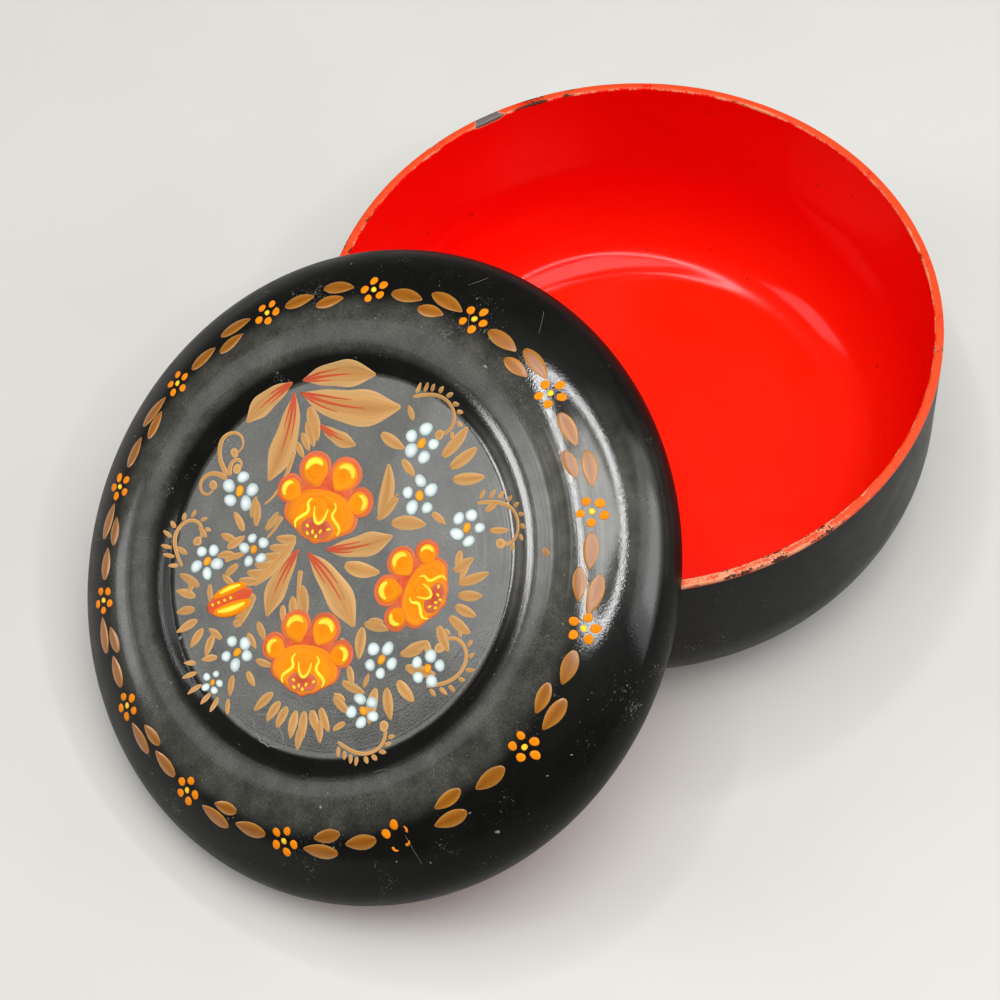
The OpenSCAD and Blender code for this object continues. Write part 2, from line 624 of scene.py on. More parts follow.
ENAMEL = StovedEnamel("black stoved enamel on spun steel")
SATIN_COAT = 0.035
SATIN_ENAMEL = StovedEnamel(
    "black satin enamel on spun steel", coat=SATIN_COAT, polished_coat=SATIN_COAT,
    crest_coat=SATIN_COAT, wall_coat=SATIN_COAT, shoulder_coat=SATIN_COAT, side_coat=SATIN_COAT,
    spun=0.3, polished_reach=1.0,
)
LACQUER = RedLacquer("red brushed lacquer")
OCHRE = BrushPaint(
    "ochre brush paint", edge="#b07a33", middle="#9d6112", heart="#8d5106", rough=0.28, gloss=0.7
)
TAN = BrushPaint("tan brush paint", edge="#caa26f", middle="#c1935b", heart="#b7834a", streaks=0.14)
SALMON = BrushPaint("salmon brush paint", edge="#c8714a", middle="#c4573a", heart="#bb4a2f")
VERMILION = BrushPaint("vermilion brush paint", edge="#cd6c44", middle="#d65a34", heart="#d2502d")
ORANGE = BrushPaint("orange brush paint", edge="#e8841a", middle="#f08a04", heart="#ee8200")
YELLOW = BrushPaint("yellow brush paint", edge="#f2ae1e", middle="#fcd435", heart="#ffe04a")
AMBER = BrushPaint("amber brush paint", edge="#d98a1c", middle="#e89d28", heart="#efa732")
WHITE = BrushPaint("white brush paint", edge="#9fb2b2", middle="#cddad8", heart="#eef4f1", streaks=0.1)
DRIED_MARK = BrushPaint(
    "dried dust and water mark", edge="#5b5a56", middle="#7d7b76", heart="#95938d", rough=0.6
)
PAPER = StudioPaper("pale studio paper")


def dressed(
    piece: bpy.types.Object, finish: Finish, body: Body, slot: Slot, *nodes: str
) -> None:
    """Give a piece its finish and body, and hide the CAD nodes that it stands for.

    Args:
        piece: the mesh object, already in place.
        finish: its finish.
        body: the body that it rides on.
        slot: the record's material slot meant for its finish; not used.
        nodes: CAD nodes that it stands for.
    """
    piece.data.materials.append(finish.material())
    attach(piece, body.value)
    if nodes:
        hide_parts(*nodes)
    LOG.info("%s: %d faces", piece.name, len(piece.data.polygons))


@dataclass(frozen=True)
class RimWear:
    """A place on the bowl's rim where the lacquer is damaged."""

    angle: float
    length: float
    bare: float = 0.0
    dark: float = 0.0
    depth: float = 0.0


@dataclass
class Bowl:
    """Spun bowl with a belly, black outside, and its red lacquer, which covers the rim."""

    wall: float = 1.25
    lacquer: float = 0.25
    belly_bulge: float = 0.3
    belly_height: float = 21.0
    base_inset: float = 12.5
    base_corner: float = 6.4
    inner_corner: float = 9.5
    rim_round: float = 0.5
    hem: float = 0.75
    lap: float = 0.02
    sunk: float = 0.01
    worn_depth: float = 3.0
    lining_steps: int = 2 * TURN_STEPS
    chips: tuple[RimWear, ...] = (
        RimWear(75.5, 5.6, bare=2.6, depth=0.12),
        RimWear(88.0, 1.6, dark=0.45, depth=0.25),
        RimWear(66.0, 9.0, dark=0.5, depth=0.08),
        RimWear(58.0, 5.0, dark=0.42, depth=0.05),
        RimWear(117.0, 6.0, dark=0.36, depth=0.08),
        RimWear(109.0, 6.0, dark=0.3, depth=0.06),
        RimWear(308.0, 2.0, bare=0.3, dark=0.42, depth=0.16),
        RimWear(330.0, 16.0, bare=0.2, dark=0.2, depth=0.03),
        RimWear(20.0, 14.0, bare=0.16, dark=0.24, depth=0.04),
        RimWear(273.0, 2.6, bare=0.4, dark=0.3, depth=0.12),
        RimWear(228.0, 12.0, bare=0.34, depth=0.03),
        RimWear(238.0, 12.0, bare=0.52, dark=0.2, depth=0.05),
        RimWear(248.0, 12.0, bare=0.5, dark=0.36, depth=0.06),
        RimWear(258.0, 12.0, bare=0.42, dark=0.36, depth=0.06),
        RimWear(266.0, 9.0, bare=0.36, dark=0.26, depth=0.03),
        RimWear(180.0, 8.0, bare=0.34, depth=0.04),
        RimWear(152.0, 3.0, dark=0.34, depth=0.1),
    )

    def __post_init__(self) -> None:
        """Work out the profile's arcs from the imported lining's size."""
        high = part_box("bowl_lining")[1]
        self.rim_radius = high.x / MM
        self.height = high.z / MM
        self.belly_radius = self.rim_radius + self.belly_bulge
        self.base_radius = self.rim_radius - self.base_inset
        reach = self.belly_radius - self.base_radius
        self.corner_centre = (self.base_radius, self.base_corner)
        self.side_radius = (
            reach ** 2 + self.belly_height ** 2 - 2 * self.belly_height * self.base_corner
        ) / (2 * (reach - self.base_corner))
        self.side_centre = (self.belly_radius - self.side_radius, self.belly_height)
        self.corner_turn = math.degrees(math.atan2(
            self.corner_centre[1] - self.side_centre[1], self.corner_centre[0] - self.side_centre[0]
        ))

    def side(self, inset: float) -> list[Point]:
        """List the side's points from the base to the belly.

        Args:
            inset: distance in from the bowl's outside.

        Returns:
            Radius and height of each point.
        """
        corner = arc(self.corner_centre, self.base_corner - inset, -90, self.corner_turn)
        side = arc(self.side_centre, self.side_radius - inset, self.corner_turn, 0)
        return corner + side[1:]

    def lined_side(self, inset: float) -> list[Point]:
        """List the side's points where lacquer has pooled and rounded the corner.

        Args:
            inset: distance in from the bowl's outside.

        Returns:
            Radius and height of each point.
        """
        reach = self.side_radius - inset - self.inner_corner
        drop = self.side_centre[1] - inset - self.inner_corner
        run = math.sqrt(reach ** 2 - drop ** 2)
        centre = (self.side_centre[0] + run, inset + self.inner_corner)
        turn = -math.degrees(math.atan2(drop, run))
        corner = arc(centre, self.inner_corner, -90, turn)
        side = arc(self.side_centre, self.side_radius - inset, turn, 0)
        return corner + side[1:]

    def rim(self, inset: float, top: float) -> list[Point]:
        """List the points that go up the outside, over the rim and back to the inside.

        Args:
            inset: how far the inside is from the outside.
            top: height of the rim.

        Returns:
            Radius and height of each point.
        """
        outer = self.rim_radius
        inner = outer - inset
        ease = min(self.rim_round, inset * 0.45)
        outside = eased((outer, top), (outer, top - 5), (inner, top), ease)
        inside = eased((inner, top), (outer, top), (inner, top - 5), ease)
        level = [
            (outside[-1][0] + (inside[0][0] - outside[-1][0]) * i / 4, top) for i in range(1, 4)
        ]
        return outside + level + inside

    def build(self) -> None:
        """Make the steel bowl and the red lacquer in it."""
        steel_top = self.height - self.lacquer
        shell = (
            [(0.0, 0.0)] + self.side(0) + self.rim(self.wall, steel_top)
            + self.side(self.wall)[::-1] + [(0.0, self.wall)]
        )
        steel = turned("bowl_black_steel", shell, TURN_STEPS)
        dressed(steel, SATIN_ENAMEL, Body.BOWL, Slot.BLACK, "bowl_shell")

        # The lacquer is sunk a hair into the steel and laps over the outside of the rim
        thick = self.wall + self.lacquer
        over = [
            (r + self.lap, z) if r > self.rim_radius - 0.2 else (r, z)
            for r, z in self.rim(thick, self.height)
        ]
        drops = (0.8, 1.1, 1.5, 2.0, 3.0, 5.0, 9.0)
        lining = (
            [(0.0, self.wall + self.sunk)] + self.side(self.wall - self.sunk)
            + [(self.rim_radius - self.wall + self.sunk, steel_top - 1.2)]
            + [(self.rim_radius + self.lap, self.height - self.hem)] + over
            + [(self.rim_radius - thick, self.height - drop) for drop in drops]
            + self.lined_side(thick)[::-1] + [(0.0, thick)]
        )
        red = turned("bowl_red_lacquer", lining, self.lining_steps)
        self.wear_and_highlight(red)
        dressed(red, LACQUER, Body.BOWL, Slot.RED, "bowl_lining")

    def wear_and_highlight(self, red: bpy.types.Object) -> None:
        """Rub the rim thin, chip it, and store where; the thin and pale tones also paint a highlight.

        Args:
            red: the red lacquer's mesh.
        """
        values = []
        thick = self.wall + self.lacquer
        inner = self.rim_radius - thick
        corner = 0.5
        for vertex in red.data.vertices:
            place = vertex.co / MM
            radius = math.hypot(place.x, place.y)
            below = self.height - place.z
            if radius < inner - corner or below > self.worn_depth:
                values.append((0.0, 0.0, 0.0))
                continue
            turn = math.degrees(math.atan2(place.y, place.x)) % 360
            wander = noise.noise(Vector((place.x, place.y, 0)) * 0.2)
            patchy = noise.noise(Vector((place.x, place.y, 9)) * 0.45)
            inside_face = radius < inner + 0.15
            fade = max(0.0, 1 - below / (0.7 + 0.5 * wander)) if inside_face else 1.0
            near_inside = max(0.0, 1 - abs(radius - inner) / corner) * max(0.0, 1 - below / 1.0)
            near_outside = max(0.0, 1 - abs(self.rim_radius - radius) / corner)
            # Thin and orange all over the top, pale undercoat along its two corners, and dark where dirt
            # has settled. The orange top and pale corners are partly worn lacquer and partly painted
            # highlight, where the rim catches the light
            rubbed = (0.74 + 0.3 * wander + 0.2 * patchy) * fade
            bare = max((0.7 + 0.36 * patchy) * near_inside, (0.3 + 0.34 * wander) * near_outside)
            dark = (0.36 - 0.4 * patchy) * max(near_inside, 0.7 * near_outside)
            depth = 0.0
            for chip in self.chips:
                off = (turn - chip.angle + 180) % 360 - 180 + 1.4 * noise.noise(place * 1.3)
                span = math.degrees(chip.length / 2 / self.rim_radius)
                if abs(off) >= span:
                    continue
                near = (1 - (off / span) ** 2) ** 0.5 * max(0.0, 1 - below / 1.1)
                bare += chip.bare * near
                dark += chip.dark * near
                depth = max(depth, chip.depth * near)
            ragged = 0.7 + 0.6 * noise.noise(place * 1.1)
            vertex.co.z -= depth * ragged * MM
            values.append((rubbed, bare, dark))
        add_values(red, "wear_and_highlight", values)


@dataclass
class Lid:
    """Spun cap lid with a shallow dish in its top, leaning on the bowl."""

    bowl: Bowl
    height: float = 15.8
    wall: float = 1.0
    fit: float = 0.25
    side_radius: float = 9.1
    side_height: float = 2.9
    shoulder_width: float = 16.6
    dish_depth: float = 2.1
    dish_wall: float = 7.3
    dish_corner: float = 3.4
    overhang: float = 22.9
    hang_gap: float = 0.55
    edge_round: float = 0.4
    lining_edge: float = 0.25
    sunk: float = 0.02

    def __post_init__(self) -> None:
        """Work out the profile's arcs and the lean from the driving sizes."""
        self.lacquer = self.bowl.lacquer
        thick = self.wall + self.lacquer
        mouth = self.bowl.rim_radius + self.fit
        self.side_centre = (
            mouth - math.sqrt((self.side_radius - thick) ** 2 - self.side_height ** 2),
            self.side_height,
        )
        self.edge_radius = self.side_centre[0] + math.sqrt(
            self.side_radius ** 2 - self.side_height ** 2
        )
        self.crest = self.side_centre[0] + self.side_radius - self.shoulder_width
        inward = self.side_centre[0] - self.crest
        upward = self.height - self.side_height - self.side_radius
        self.top_radius = self.side_radius + (inward ** 2 + upward ** 2) / (2 * upward)
        self.top_centre = (self.crest, self.height - self.top_radius)
        self.shoulder_turn = math.degrees(math.atan2(
            self.side_centre[1] - self.top_centre[1], self.side_centre[0] - self.top_centre[0]
        ))
        self.dish_radius = self.crest - self.dish_wall
        self.dish_height = self.height - self.dish_depth
        self.dish_slope = 2 * math.degrees(math.atan(self.dish_depth / self.dish_wall))
        self.lip_radius = self.dish_wall / math.sin(math.radians(self.dish_slope)) - self.dish_corner
        self.lip_centre = (self.crest, self.height - self.lip_radius)
        self.hollow_centre = (self.dish_radius, self.dish_height + self.dish_corner)
        hang_up = self.edge_radius - self.overhang
        lean = math.asin(self.bowl.height / (self.edge_radius + hang_up))
        hang_radius = mouth - self.hang_gap
        along = -hang_up * math.cos(lean) - math.sqrt(
            self.bowl.rim_radius ** 2 - hang_radius ** 2 + hang_up ** 2
        )
        place = Vector((along, 0, self.edge_radius * math.sin(lean))) * MM
        self.leaning = Matrix.Translation(place) @ Matrix.Rotation(-lean, 4, "Y")

    def side(self, inset: float) -> list[Point]:
        """List the lid's points from its mouth to the dish's floor.

        Args:
            inset: distance in from the lid's outside.

        Returns:
            Radius and height of each point.
        """
        low = -math.degrees(math.asin(self.side_height / (self.side_radius - inset)))
        slope = self.dish_slope
        return (
            arc(self.side_centre, self.side_radius - inset, low, self.shoulder_turn)
            + arc(self.top_centre, self.top_radius - inset, self.shoulder_turn, 90, 1.5)[1:]
            + arc(self.lip_centre, self.lip_radius - inset, 90, 90 + slope)[1:]
            + arc(self.hollow_centre, self.dish_corner + inset, slope - 90, -90)[1:]
        )

    def surface(self, radius: float) -> float:
        """Give the height of the lid's top above its mouth.

        Args:
            radius: distance from the lid's axis, inside its widest part.

        Returns:
            Height of the outside there.
        """
        turn = math.radians(self.shoulder_turn)
        slope = math.radians(self.dish_slope)
        if radius < self.dish_radius:
            return self.dish_height
        if radius < self.dish_radius + self.dish_corner * math.sin(slope):
            run = radius - self.dish_radius
            return self.hollow_centre[1] - math.sqrt(self.dish_corner ** 2 - run ** 2)
        if radius < self.crest:
            run = self.crest - radius
            return self.lip_centre[1] + math.sqrt(self.lip_radius ** 2 - run ** 2)
        if radius < self.side_centre[0] + self.side_radius * math.cos(turn):
            run = radius - self.crest
            return self.top_centre[1] + math.sqrt(self.top_radius ** 2 - run ** 2)
        run = radius - self.side_centre[0]
        return self.side_height + math.sqrt(max(0.0, self.side_radius ** 2 - run ** 2))

    def on_top(self, point: Point, lift: float) -> Vector:
        """Find the place on the lid's top over a point of its plan.

        Args:
            point: plan point in the lid's frame.
            lift: distance out from the surface.

        Returns:
            The place in the lid's frame, in metres.
        """
        radius = max(1e-6, math.hypot(*point))
        step = 0.02
        rise = (self.surface(radius + step) - self.surface(max(0.0, radius - step))) / (2 * step)
        outward = Vector((-rise * point[0] / radius, -rise * point[1] / radius, 1)).normalized()
        return (Vector((point[0], point[1], self.surface(radius))) + outward * lift) * MM

    def build(self) -> None:
        """Make the steel lid and the red lacquer under it."""
        outside = self.side(0)
        inside = self.side(self.wall)
        edge = eased(outside[0], (outside[0][0] - 5, 0), outside[3], self.edge_round)
        hem = eased(inside[0], inside[3], (inside[0][0] + 5, 0), self.edge_round * 0.5)
        shell = (
            [(0.0, self.dish_height - self.wall)] + inside[:2:-1] + hem + edge + outside[3:]
            + [(0.0, self.dish_height)]
        )
        steel = turned("lid_black_steel", shell, TURN_STEPS)
        steel.matrix_world = self.leaning
        dressed(steel, ENAMEL, Body.LID, Slot.BLACK, "lid_shell")

        face = self.side(self.wall + self.lacquer)
        back = self.side(self.wall - self.sunk)
        lining = (
            [(0.0, self.dish_height - self.wall - self.lacquer)] + face[:1:-1]
            + [(face[2][0], self.lining_edge), (back[2][0], self.lining_edge)] + back[2:]
            + [(0.0, self.dish_height - self.wall + self.sunk)]
        )
        red = turned("lid_red_lacquer", lining, TURN_STEPS)
        red.matrix_world = self.leaning
        dressed(red, LACQUER, Body.LID, Slot.RED, "lid_lining")


def walk(start: Point, length: float, headings: Sequence[float]) -> list[Point]:
    """Draw a line that takes a new direction at each step.

    Args:
        start: where the line starts.
        length: its length.
        headings: direction of each step in degrees.

    Returns:
        Points along the line.
    """
    points = [start]
    for heading in headings:
        points.append(polar(points[-1], length / len(headings), math.radians(heading)))
    return points


def bow(start: Point, turn: float, length: float, bend: float = 0.0, count: int = 12) -> list[Point]:
    """Draw the middle line of a bent stroke.

    Args:
        start: where the brush comes down.
        turn: the chord's direction in degrees.
        length: the stroke's length.
        bend: how far the direction swings over the stroke, in degrees.
        count: steps along it.

    Returns:
        Points along the stroke.
    """
    return walk(start, length, [turn + bend * ((i + 0.5) / count - 0.5) for i in range(count)])


def curl(start: Point, turn: float, length: float, swing: float, count: int = 30) -> list[Point]:
    """Draw the middle line of a tendril that curls up tighter to its end.

    Args:
        start: where the tendril leaves its stem.
        turn: its first direction in degrees.
        length: its length.
        swing: how far its direction turns in all, in degrees.
        count: steps along it.

    Returns:
        Points along the tendril.
    """
    return walk(start, length, [turn + swing * ((i + 0.5) / count) ** 1.9 for i in range(count)])


def leaf_width(t: float) -> float:
    """Give a leaf's width along it: full near its base, with a long point."""
    return 2.61 * t ** 0.62 * (1 - t) ** 0.78


def almond_width(t: float) -> float:
    """Give a slim leaf's width along it: pointed at both ends, fullest before its middle."""
    return 3.3 * t ** 0.76 * (1 - t) ** 0.96


def frond_width(t: float) -> float:
    """Give a large leaf's width along it: a slim stalk, full in its middle, a wavy edge, a point."""
    return 4.88 * t ** 1.25 * (1 - t) ** 1.05 * (1 + 0.1 * math.sin(11 * t))


def line_bud(t: float) -> float:
    """Give a bud's width along it: full in the middle, with blunt ends."""
    return math.sin(math.pi * t) ** 0.6


def comma_width(t: float) -> float:
    """Give a comma stroke's width: a round head that thins to a tail."""
    return min(1.0, (t / 0.16) ** 0.5 if t < 0.16 else 1.0) * (1 - t) ** 0.6


def line_width(t: float) -> float:
    """Give a thin line's width: even, with round ends."""
    return min(1.0, (t / 0.06) ** 0.5, ((1 - t) / 0.06) ** 0.5)


def lobed(radii: Sequence[float], size: float, turn: float, count: int = 60) -> list[Point]:
    """Draw a smooth outline that is the same on both sides of its axis.

    Args:
        radii: distances from the middle at even steps from the axis's front to its back.
        size: factor on the distances.
        turn: direction of the axis in degrees.
        count: points round the outline.

    Returns:
        Offsets from the middle.
    """
    # Between two distances the outline follows the cubic curve that also heeds their neighbours
    whole = list(radii) + list(radii[-2:0:-1])
    outline = []
    for k in range(count):
        place = len(whole) * k / count
        i = int(place)
        t = place - i
        a, b, c, d = (whole[(i + step) % len(whole)] for step in (-1, 0, 1, 2))
        reach = b + 0.5 * t * (c - a + t * (2 * a - 5 * b + 4 * c - d + t * (3 * (b - c) + d - a)))
        way = math.radians(turn) + math.tau * k / count
        outline.append((size * reach * math.cos(way), size * reach * math.sin(way)))
    return outline


@dataclass
class PaintLayer:
    """One paint's dabs, gathered in one mesh on the lid's top."""

    title: str
    finish: BrushPaint
    lid: Lid
    lift: float = 0.0
    body: float = 0.07
    sunk: float = 0.04
    chance: random.Random = field(default_factory=lambda: random.Random(7))
    corners: list[Vector] = field(default_factory=list)
    faces: list[tuple[int, ...]] = field(default_factory=list)
    brush: list[tuple[float, float, float]] = field(default_factory=list)

    def add(self, point: Point, fullness: float, across: float, along: float, tint: float) -> int:
        """Add one vertex of a dab.

        Args:
            point: plan point in the lid's frame.
            fullness: share of the paint's thickness; below 0 is under the surface.
            across: distance from the dab's middle, 1 at its edge.
            along: way along the dab.
            tint: the dab's own brightness.

        Returns:
            The vertex's number.
        """
        lift = -self.sunk if fullness < 0 else self.lift + self.body * fullness
        self.corners.append(self.lid.on_top(point, lift))
        self.brush.append((across, along, tint))
        return len(self.corners) - 1

    def tint(self) -> float:
        """Draw a dab's own brightness."""
        return self.chance.uniform(0.9, 1.08)

    def stroke(self, spine: Sequence[Point], width: Callable[[float], float], half: float) -> None:
        """Lay a long dab along a line.

        Args:
            spine: points along its middle.
            width: share of the full width at each way along, from 0 to 1.
            half: half the full width.
        """
        tint = self.tint()
        lanes = (-1.0, -0.86, -0.45, 0.0, 0.45, 0.86, 1.0)
        last = len(spine) - 1
        start = self.add(spine[0], -1, 1, 0, tint)
        rows = []
        bases = []
        for i in range(1, last):
            ahead = Vector(spine[i + 1]) - Vector(spine[i - 1])
            side = left_of(ahead)
            t = i / last
            reach = max(0.02, half * width(t))
            row = []
            under = []
            for lane in lanes:
                point = (spine[i][0] + side.x * lane * reach, spine[i][1] + side.y * lane * reach)
                full = -1.0 if abs(lane) == 1 else (1 - lane ** 4) * min(1.0, 0.35 + 3 * min(t, 1 - t))
                row.append(self.add(point, full, abs(lane), t, tint))
                under.append(row[-1] if abs(lane) == 1 else self.add(point, -1, abs(lane), t, tint))
            rows.append(row)
            bases.append(under)
        end = self.add(spine[last], -1, 1, 1, tint)
        for strips, turned_up in ((rows, True), (bases, False)):
            faces = [(start, b, a) for a, b in zip(strips[0], strips[0][1:])]
            for row, after in zip(strips, strips[1:]):
                faces += [(row[k], row[k + 1], after[k + 1], after[k]) for k in range(len(lanes) - 1)]
            faces += [(end, a, b) for a, b in zip(strips[-1], strips[-1][1:])]
            self.faces += faces if turned_up else [face[::-1] for face in faces]

    def blob(
        self, centre: Point, radius: float, stretch: float = 1.0, turn: float = 0.0, rough: float = 0.05
    ) -> None:
        """Lay a round dab.

        Args:
            centre: plan point of its middle.
            radius: its radius across.
            stretch: its length over its width.
            turn: direction of its length in degrees.
            rough: how far its edge wanders, as a share of its radius.
        """
        lobes = [self.chance.uniform(0, math.tau) for _ in range(2)]
        ahead = Vector((math.cos(math.radians(turn)), math.sin(math.radians(turn))))
        side = Vector((-ahead.y, ahead.x))
        outline = []
        steps = 20
        for k in range(steps):
            a = math.tau * k / steps
            reach = radius * (1 + rough * (math.sin(2 * a + lobes[0]) + 0.6 * math.sin(3 * a + lobes[1])))
            offset = ahead * reach * stretch * math.cos(a) + side * reach * math.sin(a)
            outline.append((offset.x, offset.y))
        self.patch(centre, outline)

    def patch(self, centre: Point, outline: Sequence[Point]) -> None:
        """Lay a dab of any outline that its middle can see.

        Args:
            centre: plan point of its middle.
            outline: offsets of its edge from the middle.
        """
        tint = self.tint()
        count = len(outline)
        middle = self.add(centre, 1, 0, 0.5, tint)
        rings = []
        for share, full in ((0.3, 0.99), (0.6, 0.93), (0.84, 0.72), (0.95, 0.42), (1.0, -1.0)):
            rings.append([
                self.add((centre[0] + x * share, centre[1] + y * share), full, share, k / count, tint)
                for k, (x, y) in enumerate(outline)
            ])
        for k in range(count):
            after = (k + 1) % count
            self.faces.append((middle, rings[0][k], rings[0][after]))
            for inner, outer in zip(rings, rings[1:]):
                self.faces.append((inner[k], outer[k], outer[after], inner[after]))
        self.faces.append(tuple(reversed(rings[-1])))

    def build(self) -> None:
        """Make the layer's mesh and dress it."""
        piece = mesh_object(self.title, self.corners, self.faces)
        add_values(piece, "brush", self.brush)
        piece.matrix_world = self.lid.leaning
        dressed(piece, self.finish, Body.LID, Slot.BLACK)


@dataclass(frozen=True)
class GarlandLeaf:
    """A leaf's place in the gap between two rosettes, and its size."""

    share: float
    out: float
    length: float
    half: float
    tilts: Point


@dataclass
class Garland:
    """Painted ring of dot rosettes and leaves round the lid's shoulder."""

    lid: Lid
    radius: float = 44.7
    petal: float = 0.71
    petal_ring: float = 1.74
    eye: float = 0.47
    worn_rosette: int = 8
    leaves: tuple[GarlandLeaf, ...] = (
        GarlandLeaf(0.165, -0.3, 6.3, 1.25, (-4, 3)),
        GarlandLeaf(0.47, -2.0, 5.2, 1.12, (4, 11)),
        GarlandLeaf(0.52, 1.1, 6.6, 1.2, (-9, -3)),
    )
    rosettes: tuple[float, ...] = (
        86, 60, 34, 9, -15, -41, -64, -90, -123, -149, -175, -199, -223, -248,
    )

    def leaf(
        self, layer: PaintLayer, kind: GarlandLeaf, angle: float, grow: float, tilt: float
    ) -> None:
        """Lay one leaf that runs clockwise along the shoulder.

        Args:
            layer: the leaf paint.
            kind: its size, and how far its base is outside the garland's middle line.
            angle: where its base is, in degrees.
            grow: factor on its length.
            tilt: how far its tip swings outward, in degrees.
        """
        start = polar(AXIS, self.radius + kind.out, math.radians(angle))
        length = kind.length * grow
        bend = -math.degrees(length / self.radius)
        spine = bow(start, angle - 90 + tilt + bend / 2, length, bend, 16)
        layer.stroke(spine, almond_width, kind.half)

    def build(self) -> None:
        """Paint the garland."""
        chance = random.Random(21)
        leaves = PaintLayer("garland_leaves", OCHRE, self.lid, chance=random.Random(3))
        petals = PaintLayer("garland_petals", ORANGE, self.lid, body=0.16, chance=random.Random(4))
        eyes = PaintLayer("garland_eyes", YELLOW, self.lid, body=0.15, chance=random.Random(5))
        around = self.rosettes + (self.rosettes[0] - 360,)
        for number, (angle, after) in enumerate(zip(around, around[1:])):
            gap = angle - after
            grow = [chance.uniform(0.92, 1.08) for _ in self.leaves]
            for kind, factor in zip(self.leaves, grow):
                self.leaf(leaves, kind, angle - kind.share * gap, factor, chance.uniform(*kind.tilts))
            middle = polar(AXIS, self.radius, math.radians(angle))
            turn = chance.uniform(0, 72)
            worn = number == self.worn_rosette
            for k in range(5):
                way = math.radians(turn + 72 * k + chance.uniform(-4, 4))
                dot = polar(middle, self.petal_ring * chance.uniform(0.95, 1.06), way)
                size = self.petal * chance.uniform(0.92, 1.06)
                if worn and k > 1:
                    petals.stroke(bow(dot, math.degrees(way) + 90, 1.3, 140, 8), comma_width, 0.3)
                else:
                    petals.blob(dot, size, chance.uniform(0.96, 1.1), math.degrees(way))
            if not worn:
                eyes.blob(middle, self.eye, 1.15, chance.uniform(0, 180))
        for layer in (leaves, petals, eyes):
            layer.build()


@dataclass(frozen=True)
class Sprig:
    """Place, direction and size of one painted motif."""

    x: float
    y: float
    turn: float
    size: float = 1.0
    bend: float = 0.0

    @property
    def base(self) -> Point:
        """Give the plan point that the motif is set out from."""
        return self.x, self.y


@dataclass(frozen=True)
class LeafFan:
    """Small leaves set like lashes round part of a circle."""

    x: float
    y: float
    radius: float
    start: float
    end: float
    count: int
    length: float


